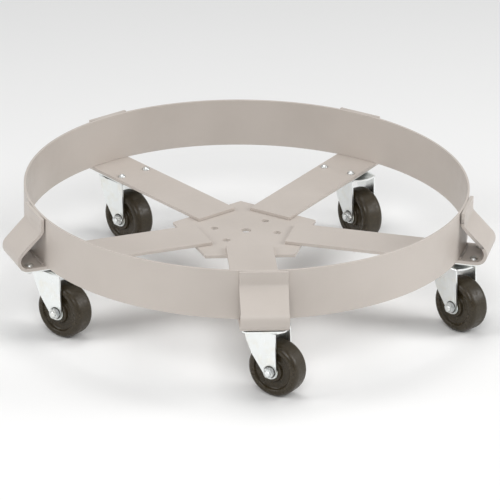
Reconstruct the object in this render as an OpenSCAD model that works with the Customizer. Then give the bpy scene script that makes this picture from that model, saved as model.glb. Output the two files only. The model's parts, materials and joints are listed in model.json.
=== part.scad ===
// Drum dolly: a steel collar ring on a five-arm star frame that rolls on five swivel casters.
// The origin is on the ring's axis, in the plane of the arms' top faces where a drum stands.
// +Z is up, arm 1 runs along -X, and the arms are counted anticlockwise from above.

/* [Collar ring] */
// Inside diameter of the ring
ring_id = 609.6; // [600:0.1:640]
// Thickness of the strip that the ring is rolled from
ring_wall = 3.2; // [2:0.1:5]
// Height of the ring
ring_h = 70; // [66:1:100]

/* [Star frame] */
// Width of the flat bar that each arm is cut from
arm_w = 65; // [64:1:70]
// Thickness of the flat bar
arm_t = 4.8; // [3:0.1:6]
// Distance from the ring's axis to an arm's square inner end
arm_start_r = 63.2; // [60:0.1:75]
// Distance from the centre to a corner of the five-sided hub plate
hub_r = 105.4; // [100:0.1:115]
// Thickness of the hub plate
hub_t = 4.8; // [3:0.1:8]
// Diameter of the hole in the middle of the hub plate
hub_centre_hole_d = 14; // [10:0.5:20]
// Diameter of the hub plate's four bolt holes
hub_bolt_hole_d = 10.3; // [8:0.1:12]
// Spacing of the bolt holes along arm 1
hub_bolt_x = 76.2; // [60:0.1:80]
// Spacing of the bolt holes across arm 1
hub_bolt_y = 44.45; // [30:0.05:50]

/* [Bracket] */
// Distance from the ring's axis to the outermost point of the hook at an arm's end
bracket_reach = 346; // [344:0.5:352]
// Outside radius of the hook's lower bend
hook_bend_r = 16; // [12:0.5:18]
// Inside radius of the bend below the tab
tab_bend_r = 8; // [4:0.5:10]

/* [Casters] */
// Distance from the ring's axis to each kingpin
caster_r = 288; // [284:0.5:290]
// Height of the arms' top faces above the floor
seat_h = 109.6; // [106:0.1:120]
// Horizontal distance from the kingpin to the wheel's axle
trail = 26; // [20:1:30]
// Directions in which the five casters trail at rest, in degrees
swivel_rest = [-60, -54, -69, -79, -69]; // [-180:1:180]
// Length of the mounting plate, along the arm
plate_l = 98; // [94:1:104]
// Width of the mounting plate
plate_w = 60; // [58:1:64]
// Thickness of the mounting plate
plate_t = 2.5; // [2:0.1:3]
// Spacing of the rivets along the arm
rivet_x = 76.2; // [74:0.1:78]
// Spacing of the rivets across the arm
rivet_y = 44.45; // [42:0.05:46]

/* [Wheels] */
// Diameter of the wheel
wheel_d = 76.2; // [70:0.1:80]
// Width of the wheel's tread
wheel_w = 32; // [28:1:34]
// Length of the wheel's hub along the axle
wheel_hub_l = 33.6; // [32.6:0.2:33.6]

/* [Hidden] */
$fn = 96;
count = 5;
pitch = 360 / count;
numbers = [for (i = [1:count]) i];
ring_fn = 360;
ring_ir = ring_id / 2;
ring_or = ring_ir + ring_wall;

// Hook: a flat, a 135 degree bend, a slope back to the ring and a tab against its outer face
hook_turn = 135;
hook_in_r = hook_bend_r - arm_t;
flat_end_r = bracket_reach - hook_bend_r;
tab_gap = 0.05;
tab_in_r = ring_or + tab_gap;
tab_bend_z = flat_end_r + hook_in_r + hook_bend_r * sqrt(2)
    - (tab_in_r + arm_t + tab_bend_r) + tab_bend_r * sqrt(2);
bend_steps = 24;
weld_leg = 4;
hub_weld_l = 52;
rim_weld_turn = 9.6;

// Heights of the caster's layers, downwards from the underside of the arm
plate_z = -arm_t;
race_h = 3.2;
race_z = plate_z - plate_t - race_h;
race_r = 16;
race_w = 6;
ball_d = 6;
ball_count = 16;
ball_fit = 0.05;
ball_z = race_z - 1.2;
crown_z = race_z - 2.4;
crown_t = 3;
crown_r = 32;
crown_x = 8;

// Yoke: two legs below the crown, their outline narrowing to a round end at the axle
leg_t = 2.5;
yoke_w = 41;
leg_in = yoke_w / 2 - leg_t;
leg_end_r = 10;
axle_z = wheel_d / 2 - seat_h;
leg_corner_x = sqrt(pow(crown_r, 2) - pow(yoke_w / 2, 2));
leg_front = [[crown_x - leg_corner_x, crown_z], [-11.5, -32], [-2.5, -51]];
leg_back = [crown_x + leg_corner_x, crown_z];
dimple_r = 8.4;
dimple_t = 0.8;
dimple_rim = 1;

// Kingpin, axle and their fits
pin_r = 5;
pin_head_r = 9;
pin_fit = 0.05;
washer_r = 13;
washer_t = 2.5;
washer_gap = 0.3;
washer_z = crown_z - crown_t - washer_gap;
peen_r = 8;
peen_h = 3.5;
rivet_r = 4;
rivet_head_r = 5.6;
rivet_head_h = 4;
bolt_r = 3.97;
bolt_hole_r = 4.05;
hex_across = 12.7;
bolt_head_h = 5;
nut_h = 6.7;
bolt_past_nut = 1.6;
sleeve_r = 6;
bush_fit = 0.05;
bush_r = 9.5;

// Wheel profile: rounded tread corners, a raised rim, a dished web and a raised hub
tread_round = 8;
rim_in_r = 28;
web_out_r = 26;
web_in_r = 17;
web_w = 24;
hub_out_r = 15;

frame_paint = [0.76, 0.73, 0.71];
zinc = [0.80, 0.83, 0.84];
steel = [0.62, 0.63, 0.64];
bronze = [0.66, 0.56, 0.38];
wheel_brown = [0.27, 0.24, 0.21];

// ---- Placing and shared shapes ----

// Turns a shape drawn along +X to lie along arm n
module along_arm(n) {
    rotate([0, 0, 180 + (n - 1) * pitch]) children();
}

// Puts a shape drawn about a kingpin at the origin, trailing along +X, at caster n
module at_caster(n) {
    along_arm(n) translate([caster_r, 0, 0])
        rotate([0, 0, swivel_rest[n - 1] - 180 - (n - 1) * pitch]) children();
}

// Turns a shape drawn about the Z axis to lie about the wheel's axle, +Z to +Y
module on_axle() {
    translate([trail, 0, axle_z]) rotate([-90, 0, 0]) children();
}

// Round cap with a flat base at the origin, pointing up
module dome(base_r, height) {
    ball_r = (base_r * base_r + height * height) / (2 * height);
    intersection() {
        translate([0, 0, height - ball_r]) sphere(ball_r);
        cylinder(r = base_r, h = height);
    }
}

// Flat plate with round corners, its top at the origin
module round_plate(l, w, t, r) {
    translate([0, 0, -t]) linear_extrude(t) union() {
        square([l - 2 * r, w], center = true);
        square([l, w - 2 * r], center = true);
        for (x = [-1, 1], y = [-1, 1]) translate([x * (l / 2 - r), y * (w / 2 - r)]) circle(r);
    }
}

// Places a shape at each of a caster's four rivets, measured from the kingpin
module at_rivets() {
    for (x = [-1, 1], y = [-1, 1]) translate([x * rivet_x / 2, y * rivet_y / 2, 0]) children();
}

// Ball groove, a full ring about the kingpin
module ball_groove() {
    translate([0, 0, ball_z]) rotate_extrude() translate([race_r, 0]) circle(ball_d / 2 + ball_fit);
}

// ---- Frame ----

module collar_ring() {
    color(frame_paint) difference() {
        cylinder(r = ring_or, h = ring_h, $fn = ring_fn);
        translate([0, 0, -1]) cylinder(r = ring_ir, h = ring_h + 2, $fn = ring_fn);
    }
}

module hub_plate() {
    color(frame_paint) difference() {
        translate([0, 0, -arm_t - hub_t]) linear_extrude(hub_t)
            rotate(pitch / 2 + 180) circle(hub_r, $fn = count);
        translate([0, 0, -arm_t - hub_t - 1]) cylinder(d = hub_centre_hole_d, h = hub_t + 2);
        for (x = [-1, 1], y = [-1, 1])
            translate([x * hub_bolt_x / 2, y * hub_bolt_y / 2, -arm_t - hub_t - 1])
                cylinder(d = hub_bolt_hole_d, h = hub_t + 2);
    }
}

// Points along part of a circle, between two angles
function arc(centre, r, from, to) = [for (i = [0:bend_steps])
    let (a = from + (to - from) * i / bend_steps) centre + r * [cos(a), sin(a)]];

// Side view of an arm, X outwards and Y up: underside and outer face, then back along the other
module arm_outline() {
    hook = [flat_end_r, hook_in_r];
    tab = [tab_in_r + arm_t + tab_bend_r, tab_bend_z];
    polygon(concat(
        [[arm_start_r, 0], [arm_start_r, -arm_t]],
        arc(hook, hook_bend_r, -90, hook_turn - 90),
        arc(tab, tab_bend_r, hook_turn + 90, 180),
        [[tab_in_r + arm_t, ring_h], [tab_in_r, ring_h]],
        arc(tab, tab_bend_r + arm_t, 180, hook_turn + 90),
        arc(hook, hook_in_r, hook_turn - 90, -90)
    ));
}

module arm(n) {
    color(frame_paint) along_arm(n) difference() {
        rotate([90, 0, 0]) linear_extrude(arm_w, center = true) arm_outline();
        translate([caster_r, 0, -arm_t - 1]) at_rivets() cylinder(r = rivet_r, h = arm_t + 2);
    }
}

// Fillet beads between the hub plate's edges and the undersides of the arms
module hub_welds() {
    edge_r = hub_r * cos(pitch / 2);
    color(frame_paint) for (n = numbers) along_arm(n)
        translate([edge_r, hub_weld_l / 2, -arm_t]) rotate([90, 0, 0]) linear_extrude(hub_weld_l)
            polygon([[0, 0], [weld_leg, 0], [0, -weld_leg]]);
}

// Fillet beads between the ring's outer face and the tops of the arms
module rim_welds() {
    color(frame_paint) for (n = numbers) along_arm(n)
        rotate([0, 0, -rim_weld_turn / 2]) rotate_extrude(angle = rim_weld_turn, $fn = ring_fn)
            polygon([[ring_or, 0], [ring_or + weld_leg, 0], [ring_or, weld_leg]]);
}

// ---- Casters, fixed parts ----

module caster_plate(n) {
    color(zinc) along_arm(n) translate([caster_r, 0, 0]) difference() {
        union() {
            translate([0, 0, plate_z]) round_plate(plate_l, plate_w, plate_t, 8);
            translate([0, 0, race_z]) cylinder(r = race_r + race_w, h = race_h);
        }
        ball_groove();
        translate([0, 0, plate_z - plate_t])
            cylinder(r1 = pin_r, r2 = pin_head_r, h = plate_t);
        translate([0, 0, race_z - 1]) cylinder(r = pin_r, h = race_h + plate_t);
        translate([0, 0, plate_z - plate_t - 1]) at_rivets() cylinder(r = rivet_r, h = plate_t + 2);
    }
}

module caster_rivets() {
    grip = arm_t + plate_t;
    color(zinc) for (n = numbers) along_arm(n) translate([caster_r, 0, 0]) at_rivets() {
        dome(rivet_head_r, rivet_head_h);
        translate([0, 0, -grip]) cylinder(r = rivet_r, h = grip);
        translate([0, 0, -grip]) mirror([0, 0, 1]) dome(rivet_head_r, rivet_head_h);
    }
}

// Kingpin: a flush head in the plate, a shank through the crown and a peened lower end
module kingpin(n) {
    shank_end = washer_z - washer_t;
    color(steel) along_arm(n) translate([caster_r, 0, 0]) {
        translate([0, 0, plate_z - plate_t]) cylinder(r1 = pin_r, r2 = pin_head_r, h = plate_t);
        translate([0, 0, shank_end]) cylinder(r = pin_r, h = plate_z - plate_t - shank_end);
        translate([0, 0, shank_end]) mirror([0, 0, 1]) dome(peen_r, peen_h);
    }
}

module kingpin_washers() {
    color(zinc) for (n = numbers) along_arm(n) translate([caster_r, 0, washer_z - washer_t])
        difference() {
            cylinder(r = washer_r, h = washer_t);
            translate([0, 0, -1]) cylinder(r = pin_r, h = washer_t + 2);
        }
}

// ---- Casters, swivelling parts ----

// Where a line from a point touches a circle; side is 1 or -1
function touch(point, centre, r, side) =
    let (d = point - centre, turn = atan2(d[1], d[0]) + side * acos(r / norm(d)))
    centre + r * [cos(turn), sin(turn)];

// Outline of a leg, X along the trail and Y up
module leg_outline() {
    axle = [trail, axle_z];
    polygon(concat(leg_front, [
        touch(leg_front[2], axle, leg_end_r, 1), axle, touch(leg_back, axle, leg_end_r, -1), leg_back
    ]));
    translate(axle) circle(leg_end_r);
}

// A leg's plate from the yoke's middle outwards to one side; side is 1 or -1
module leg(side) {
    lower = side > 0 ? leg_in : -yoke_w / 2;
    translate([0, lower + leg_t, 0]) rotate([90, 0, 0]) linear_extrude(leg_t) leg_outline();
    on_axle() translate([0, 0, side > 0 ? leg_in - dimple_t : -leg_in])
        cylinder(r = dimple_r + dimple_rim, h = dimple_t);
}

module yoke(n) {
    color(zinc) at_caster(n) difference() {
        union() {
            intersection() {
                translate([crown_x, 0, crown_z - crown_t]) cylinder(r = crown_r, h = crown_t);
                translate([crown_x - crown_r, -yoke_w / 2, crown_z - crown_t])
                    cube([2 * crown_r, yoke_w, crown_t]);
            }
            leg(1);
            leg(-1);
        }
        ball_groove();
        translate([0, 0, crown_z - crown_t - 1]) cylinder(r = pin_r + pin_fit, h = crown_t + 2);
        on_axle() for (side = [-1, 1])
            translate([0, 0, side > 0 ? yoke_w / 2 - dimple_t : -yoke_w / 2 - 1])
                cylinder(r = dimple_r, h = dimple_t + 1);
        on_axle() translate([0, 0, -yoke_w / 2 - 1]) cylinder(r = bolt_hole_r, h = yoke_w + 2);
    }
}

module race_balls(n) {
    color(steel) at_caster(n) for (i = [1:ball_count]) rotate([0, 0, i * 360 / ball_count])
        translate([race_r, 0, ball_z]) sphere(d = ball_d);
}

// Hexagon bar about the Z axis, its base at the origin
module hex(h) {
    cylinder(d = hex_across / cos(30), h = h, $fn = 6);
}

module axle_bolt(n) {
    head_z = -yoke_w / 2 + dimple_t;
    color(zinc) at_caster(n) on_axle() rotate([180, 0, 0]) {
        translate([0, 0, head_z - bolt_head_h]) hex(bolt_head_h);
        translate([0, 0, head_z]) cylinder(r = bolt_r, h = nut_h + bolt_past_nut - 2 * head_z);
    }
}

module axle_nut(n) {
    color(zinc) at_caster(n) on_axle() rotate([180, 0, 0]) difference() {
        translate([0, 0, yoke_w / 2 - dimple_t]) hex(nut_h);
        translate([0, 0, yoke_w / 2 - dimple_t - 1]) cylinder(r = bolt_r, h = nut_h + 2);
    }
}

// Plain tube about the axle, centred on the wheel
module tube(outer_r, inner_r, l) {
    translate([0, 0, -l / 2]) difference() {
        cylinder(r = outer_r, h = l);
        translate([0, 0, -1]) cylinder(r = inner_r, h = l + 2);
    }
}

module axle_sleeve(n) {
    color(steel) at_caster(n) on_axle() tube(sleeve_r, bolt_hole_r, 2 * (leg_in - dimple_t));
}

// ---- Casters, rolling parts ----

module wheel_bushing(n) {
    color(bronze) at_caster(n) on_axle() tube(bush_r, sleeve_r + bush_fit, wheel_hub_l);
}

// One half of the wheel's section, from its middle plane out to +Y
module wheel_half_section() {
    r = wheel_d / 2;
    polygon([
        [bush_r, 0], [r, 0], [r, wheel_w / 2 - tread_round], [r - tread_round, wheel_w / 2],
        [rim_in_r, wheel_w / 2], [web_out_r, web_w / 2], [web_in_r, web_w / 2],
        [hub_out_r, wheel_hub_l / 2], [bush_r, wheel_hub_l / 2]
    ]);
    translate([r - tread_round, wheel_w / 2 - tread_round]) circle(tread_round);
}

module wheel(n) {
    color(wheel_brown) at_caster(n) on_axle() rotate_extrude() {
        wheel_half_section();
        mirror([0, 1]) wheel_half_section();
    }
}

// ---- Nodes ----

collar_ring();
hub_plate();
hub_welds();
rim_welds();
caster_rivets();
kingpin_washers();
for (n = numbers) {
    arm(n);
    caster_plate(n);
    kingpin(n);
    yoke(n);
    race_balls(n);
    axle_bolt(n);
    axle_nut(n);
    axle_sleeve(n);
    wheel(n);
    wheel_bushing(n);
}
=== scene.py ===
"""Drum dolly: a steel collar ring on a five-arm star frame that rolls on five swivel casters.

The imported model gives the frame: its origin is on the ring's axis in the plane of the arms' top faces,
+Z is up and arm 1 runs along -X. Each class below builds one sub-assembly around it, in metres.
"""

import json
import logging
import math
from collections.abc import Callable
from dataclasses import dataclass, field
from enum import Enum

import bmesh
import bpy
from mathutils import Matrix, Vector


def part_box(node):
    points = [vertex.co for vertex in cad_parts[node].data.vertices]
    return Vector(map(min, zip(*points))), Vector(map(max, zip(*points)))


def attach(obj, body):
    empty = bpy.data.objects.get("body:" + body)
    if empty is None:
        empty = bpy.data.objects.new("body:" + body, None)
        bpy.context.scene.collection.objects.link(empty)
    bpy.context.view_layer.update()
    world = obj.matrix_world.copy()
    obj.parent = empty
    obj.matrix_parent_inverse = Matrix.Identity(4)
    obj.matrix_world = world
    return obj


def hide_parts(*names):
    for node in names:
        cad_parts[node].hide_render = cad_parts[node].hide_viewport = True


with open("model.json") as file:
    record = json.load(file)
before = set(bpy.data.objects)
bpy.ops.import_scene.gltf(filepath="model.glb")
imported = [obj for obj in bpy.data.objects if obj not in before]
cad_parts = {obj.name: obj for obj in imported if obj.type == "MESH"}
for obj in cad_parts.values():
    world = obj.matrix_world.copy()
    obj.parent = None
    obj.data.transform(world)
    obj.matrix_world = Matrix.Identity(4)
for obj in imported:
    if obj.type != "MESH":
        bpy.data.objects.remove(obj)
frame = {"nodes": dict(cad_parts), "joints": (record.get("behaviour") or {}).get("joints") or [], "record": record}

LOG = logging.getLogger("drum_dolly")
MM = 0.001
FULL_TURN = 2 * math.pi
QUARTER_TURN = math.pi / 2
SHARP_ANGLE = math.radians(38)
NOISE_MIDDLE = (0.3, 0.7)  # range that most of a noise pattern's values lie in
JOINTS = {joint["name"]: joint for joint in frame["joints"]}
CASTER_NUMBERS = range(1, 6)
PITCH = FULL_TURN / len(CASTER_NUMBERS)


class Layer(Enum):
    """Vertex attributes that the finishes read."""

    RADIUS_SHARE = "radius_share"
    # Painted shade on the zinc parts, as a share from 0 to 1.
    PAINTED_SHADE = "painted_shade"


class Slot(Enum):
    """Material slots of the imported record."""

    FRAME_PAINT = "frame_paint"
    ZINC = "zinc_plate"
    STEEL = "bright_steel"
    COMPOUND = "wheel_compound"
    BUSHING = "bushing"


# ---- Finishes ----


class Graph:
    """Node tree of one material, wired up step by step.

    Attributes:
        material: the material that the tree belongs to.
        shader: its Principled shader.
        place: socket with the point being shaded, in metres.
    """

    def __init__(self, name: str) -> None:
        """Starts a material.

        Args:
            name: the material's name.
        """
        self.material = bpy.data.materials.new(name)
        self.material.use_nodes = True
        self.tree = self.material.node_tree
        self.shader = self.tree.nodes["Principled BSDF"]
        self.place = self.add("ShaderNodeTexCoord").outputs["Object"]

    def add(self, kind: str, **settings: object) -> bpy.types.Node:
        """Adds a node.

        Args:
            kind: Blender's type name of the node.
            settings: properties to set on it.

        Returns:
            The new node.
        """
        node = self.tree.nodes.new(kind)
        for key, value in settings.items():
            setattr(node, key, value)
        return node

    def feed(self, socket: bpy.types.NodeSocket, value: object) -> None:
        """Links a socket to another, or sets it to a plain value.

        Args:
            socket: the input to fill.
            value: an output socket, a number or a colour.
        """
        if isinstance(value, bpy.types.NodeSocket):
            self.tree.links.new(value, socket)
        else:
            socket.default_value = value

    def noise(self, scale: float, detail: float = 2.0, stretch: tuple = (1, 1, 1)) -> bpy.types.NodeSocket:
        """Cloudy pattern from 0 to 1.

        Args:
            scale: features to a metre.
            detail: octaves of finer features.
            stretch: how much the pattern is squeezed along each axis.

        Returns:
            The pattern's output socket.
        """
        mapping = self.add("ShaderNodeMapping")
        mapping.inputs["Scale"].default_value = stretch
        self.feed(mapping.inputs["Vector"], self.place)
        node = self.add("ShaderNodeTexNoise")
        self.feed(node.inputs["Vector"], mapping.outputs["Vector"])
        node.inputs["Scale"].default_value = scale
        node.inputs["Detail"].default_value = detail
        return node.outputs["Fac"]

    def spread(self, value: bpy.types.NodeSocket, source: tuple, target: tuple) -> bpy.types.NodeSocket:
        """Maps one range of numbers to another and clamps it.

        Args:
            value: the number to map.
            source: lowest and highest value that come in.
            target: what these become.

        Returns:
            The mapped number's socket.
        """
        node = self.add("ShaderNodeMapRange")
        self.feed(node.inputs["Value"], value)
        for name, number in zip(("From Min", "From Max", "To Min", "To Max"), (*source, *target)):
            node.inputs[name].default_value = number
        return node.outputs["Result"]

    def blend(self, factor: object, first: object, second: object) -> bpy.types.NodeSocket:
        """Mixes two colours.

        Args:
            factor: share of the second colour.
            first: colour or socket at 0.
            second: colour or socket at 1.

        Returns:
            The mixed colour's socket.
        """
        node = self.add("ShaderNodeMix", data_type="RGBA")
        colours = [socket for socket in node.inputs if socket.type == "RGBA"]
        self.feed(node.inputs["Factor"], factor)
        for socket, colour in zip(colours, (first, second)):
            self.feed(socket, colour)
        return next(socket for socket in node.outputs if socket.type == "RGBA")

    def bump(self, layers: list[tuple[bpy.types.NodeSocket, float]]) -> None:
        """Gives the surface fine relief, one layer upon another.

        Args:
            layers: each layer's pattern and its height in metres.
        """
        normal = None
        for pattern, height in layers:
            node = self.add("ShaderNodeBump")
            node.inputs["Strength"].default_value = 1.0
            node.inputs["Distance"].default_value = height
            self.feed(node.inputs["Height"], pattern)
            if normal:
                self.feed(node.inputs["Normal"], normal)
            normal = node.outputs["Normal"]
        self.feed(self.shader.inputs["Normal"], normal)


def solid(colour: tuple[float, float, float]) -> tuple[float, float, float, float]:
    """Adds full opacity to a colour."""
    return (*colour, 1.0)


@dataclass(frozen=True)
class Enamel:
    """Satin baked enamel sprayed on steel, with a faint orange-peel texture.

    Attributes:
        slot: the record's slot that the finish stands for.
        colour: the enamel where the coat is thick.
        thin_colour: the enamel where the coat is thin.
        speck_colour: small dark specks in it.
        roughness: roughness of the smoothest and the dullest places.
    """

    slot: Slot = Slot.FRAME_PAINT
    colour: tuple = (0.520, 0.470, 0.426)
    thin_colour: tuple = (0.555, 0.503, 0.458)
    speck_colour: tuple = (0.40, 0.355, 0.315)
    roughness: tuple = (0.36, 0.50)

    def make(self) -> bpy.types.Material:
        """Builds the material."""
        graph = Graph("satin_warm_grey_enamel")
        cloud = graph.noise(9, 4)
        peel = graph.noise(420, 2)
        thin = graph.spread(cloud, (0.35, 0.65), (0, 1))
        coat = graph.blend(thin, solid(self.colour), solid(self.thin_colour))
        specks = graph.spread(graph.noise(1500, 0), (0.74, 0.80), (0, 0.35))
        graph.feed(graph.shader.inputs["Base Color"], graph.blend(specks, coat, solid(self.speck_colour)))
        rough = graph.spread(graph.noise(60, 3), NOISE_MIDDLE, self.roughness)
        graph.feed(graph.shader.inputs["Roughness"], rough)
        graph.shader.inputs["Specular IOR Level"].default_value = 0.5
        graph.bump([(graph.noise(35, 2), 0.12 * MM), (peel, 0.05 * MM)])
        return graph.material


@dataclass(frozen=True)
class ZincPlating:
    """Blue-white zinc plating with faint yellow clouds, drawing marks from the press, and painted shade that
    darkens and dulls chosen places.

    Attributes:
        slot: the record's slot that the finish stands for.
        colour: the plating.
        cloud_colour: its yellowish clouds.
        painted_shade_colour: painted shade, the colour where the shade layer is 1.
        roughness: roughness of the smoothest and the dullest places.
        shade_layer_dulls: how much rougher the shade layer makes them.
    """

    slot: Slot = Slot.ZINC
    colour: tuple = (0.93, 0.955, 0.95)
    cloud_colour: tuple = (0.90, 0.90, 0.85)
    painted_shade_colour: tuple = (0.050, 0.046, 0.038)
    roughness: tuple = (0.26, 0.44)
    shade_layer_dulls: float = 0.3

    def make(self) -> bpy.types.Material:
        """Builds the material."""
        graph = Graph("blue_white_zinc_plating")
        clouds = graph.spread(graph.noise(70, 4), (0.48, 0.75), (0, 1))
        marks = graph.noise(900, 2, (1, 1, 0.06))
        plating = graph.blend(clouds, solid(self.colour), solid(self.cloud_colour))
        # Painted shade: this layer darkens the plating in raceway grooves, bolt dimples and around rivet heads,
        # where shade falls.
        painted_shade = graph.add("ShaderNodeAttribute", attribute_name=Layer.PAINTED_SHADE.value).outputs["Fac"]
        oil_film_and_painted_shade = graph.blend(painted_shade, plating, solid(self.painted_shade_colour))
        graph.feed(graph.shader.inputs["Base Color"], oil_film_and_painted_shade)
        rough = graph.add("ShaderNodeMath", operation="MULTIPLY_ADD")
        graph.feed(rough.inputs[0], painted_shade)
        rough.inputs[1].default_value = self.shade_layer_dulls
        graph.feed(rough.inputs[2], graph.spread(marks, NOISE_MIDDLE, self.roughness))
        graph.feed(graph.shader.inputs["Roughness"], rough.outputs[0])
        graph.shader.inputs["Metallic"].default_value = 1.0
        graph.bump([(marks, 0.012 * MM), (graph.noise(2200, 2), 0.008 * MM)])
        return graph.material


@dataclass(frozen=True)
class PlainSteel:
    """Bare turned or drawn steel with a thin film of oil.

    Attributes:
        slot: the record's slot that the finish stands for.
        colour: the steel.
        film_colour: the steel under the oil.
        roughness: roughness of the smoothest and the dullest places.
    """

    slot: Slot = Slot.STEEL
    colour: tuple = (0.56, 0.57, 0.58)
    film_colour: tuple = (0.40, 0.37, 0.33)
    roughness: tuple = (0.22, 0.38)

    def make(self) -> bpy.types.Material:
        """Builds the material."""
        graph = Graph("oiled_bright_steel")
        oil_film_and_painted_shade = graph.spread(graph.noise(160, 4), (0.45, 0.75), (0, 0.7))
        rings = graph.noise(1400, 2, (1, 1, 0.2))
        colour = graph.blend(oil_film_and_painted_shade, solid(self.colour), solid(self.film_colour))
        graph.feed(graph.shader.inputs["Base Color"], colour)
        graph.feed(graph.shader.inputs["Roughness"], graph.spread(rings, NOISE_MIDDLE, self.roughness))
        graph.shader.inputs["Metallic"].default_value = 1.0
        graph.bump([(rings, 0.006 * MM)])
        return graph.material


@dataclass(frozen=True)
class WheelCompound:
    """Dark brown phenolic compound, moulded with chopped cloth, and scuffed along the tread.

    Attributes:
        slot: the record's slot that the finish stands for.
        colour: the resin.
        fibre_colour: the cloth flecks in it.
        dust_colour: what the tread picks up from the floor.
        tread_from: share of the wheel's radius where the scuffing starts.
        roughness: roughness of the smoothest and the dullest places.
        scuffs_dull: how much rougher the scuffing makes them.
        specular: strength of the resin's reflections.
    """

    slot: Slot = Slot.COMPOUND
    colour: tuple = (0.032, 0.024, 0.013)
    fibre_colour: tuple = (0.056, 0.042, 0.023)
    dust_colour: tuple = (0.048, 0.038, 0.024)
    tread_from: float = 0.95
    roughness: tuple = (0.24, 0.34)
    scuffs_dull: float = 0.35
    specular: float = 0.36

    def make(self) -> bpy.types.Material:
        """Builds the material."""
        graph = Graph("brown_phenolic_compound")
        flecks = graph.spread(graph.noise(520, 3), (0.50, 0.66), (0, 1))
        body = graph.blend(flecks, solid(self.colour), solid(self.fibre_colour))
        share = graph.add("ShaderNodeAttribute", attribute_name=Layer.RADIUS_SHARE.value).outputs["Fac"]
        tread = graph.spread(share, (self.tread_from, 1.0), (0, 1))
        scuffs = graph.spread(graph.noise(240, 4), (0.40, 0.68), (0.15, 0.85))
        worn = graph.add("ShaderNodeMath", operation="MULTIPLY")
        graph.feed(worn.inputs[0], tread)
        graph.feed(worn.inputs[1], scuffs)
        colour = graph.blend(worn.outputs[0], body, solid(self.dust_colour))
        graph.feed(graph.shader.inputs["Base Color"], colour)
        gloss = graph.spread(graph.noise(90, 3), NOISE_MIDDLE, self.roughness)
        rough = graph.add("ShaderNodeMath", operation="MULTIPLY_ADD")
        graph.feed(rough.inputs[0], worn.outputs[0])
        rough.inputs[1].default_value = self.scuffs_dull
        graph.feed(rough.inputs[2], gloss)
        graph.feed(graph.shader.inputs["Roughness"], rough.outputs[0])
        graph.shader.inputs["Specular IOR Level"].default_value = self.specular
        graph.bump([(graph.noise(120, 2), 0.10 * MM), (graph.noise(1300, 2), 0.02 * MM)])
        return graph.material


@dataclass(frozen=True)
class SinteredBronze:
    """Oil-soaked sintered bronze with open pores.

    Attributes:
        slot: the record's slot that the finish stands for.
        colour: the bronze.
        pore_colour: its pores.
        roughness: roughness of the smoothest and the dullest places.
    """

    slot: Slot = Slot.BUSHING
    colour: tuple = (0.47, 0.33, 0.16)
    pore_colour: tuple = (0.13, 0.085, 0.045)
    roughness: tuple = (0.35, 0.55)

    def make(self) -> bpy.types.Material:
        """Builds the material."""
        graph = Graph("sintered_bronze")
        grains = graph.noise(2600, 2)
        pores = graph.spread(grains, (0.58, 0.70), (0, 1))
        colour = graph.blend(pores, solid(self.colour), solid(self.pore_colour))
        graph.feed(graph.shader.inputs["Base Color"], colour)
        rough = graph.spread(graph.noise(300, 2), NOISE_MIDDLE, self.roughness)
        graph.feed(graph.shader.inputs["Roughness"], rough)
        graph.shader.inputs["Metallic"].default_value = 1.0
        graph.bump([(grains, 0.02 * MM)])
        return graph.material


class PaintShop:
    """Makes each finish once and puts it on pieces."""

    def __init__(self) -> None:
        """Makes the finishes."""
        finishes = (Enamel(), ZincPlating(), PlainSteel(), WheelCompound(), SinteredBronze())
        self.materials = {finish.slot: finish.make() for finish in finishes}

    def coat(self, piece: bpy.types.Object, slot: Slot) -> None:
        """Gives a piece one of the finishes.

        Args:
            piece: the object to coat.
            slot: the record's slot that the finish stands for.
        """
        piece.data.materials.clear()
        piece.data.materials.append(self.materials[slot])

    def coat_kept_nodes(self) -> None:
        """Coats every CAD node that still shows with its own slot's finish."""
        slots = {part["node"]: Slot(part["material_slot"]) for part in frame["record"]["subparts"]}
        for name, node in frame["nodes"].items():
            if not node.hide_render:
                self.coat(node, slots[name])
                node.data.shade_smooth()
                add_weighted_normals(node)
                LOG.info("kept CAD node %s with %s", name, slots[name].value)


# ---- Workshop: shapes that several sub-assemblies use ----


def add_weighted_normals(piece: bpy.types.Object) -> None:
    """Shades large flat faces flat and the rounded edges between them smooth."""
    modifier = piece.modifiers.new("weighted_normals", "WEIGHTED_NORMAL")
    modifier.keep_sharp = True
    modifier.weight = 50


def mark_edges(bm: bmesh.types.BMesh) -> None:
    """Shades a mesh smooth except across its sharp edges."""
    for face in bm.faces:
        face.smooth = True
    for edge in bm.edges:
        edge.smooth = edge.calc_face_angle(0) < SHARP_ANGLE


def soften_edges(bm: bmesh.types.BMesh, width: float, segments: int = 2, above: float = SHARP_ANGLE) -> None:
    """Rounds every sharp edge of a solid.

    Args:
        bm: the mesh to work on.
        width: how far the rounding reaches from the edge.
        segments: faces across the rounding.
        above: angle between two faces from which their edge counts as sharp.
    """
    edges = [edge for edge in bm.edges if len(edge.link_faces) == 2 and edge.calc_face_angle() > above]
    bmesh.ops.bevel(
        bm, geom=edges, offset=width, offset_type="OFFSET", segments=segments, profile=0.5,
        affect="EDGES", clamp_overlap=True, material=-1,
    )


def fill_layer(bm: bmesh.types.BMesh, layer: Layer, rule: Callable[[Vector], float]) -> None:
    """Gives every vertex a value that a finish reads.

    Args:
        bm: the mesh to work on.
        layer: the attribute.
        rule: the value at a point.
    """
    values = bm.verts.layers.float.new(layer.value)
    for vert in bm.verts:
        vert[values] = rule(vert.co)


def only_face(bm: bmesh.types.BMesh) -> bmesh.types.BMFace:
    """The face of a mesh that has one."""
    return next(iter(bm.faces))


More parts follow.
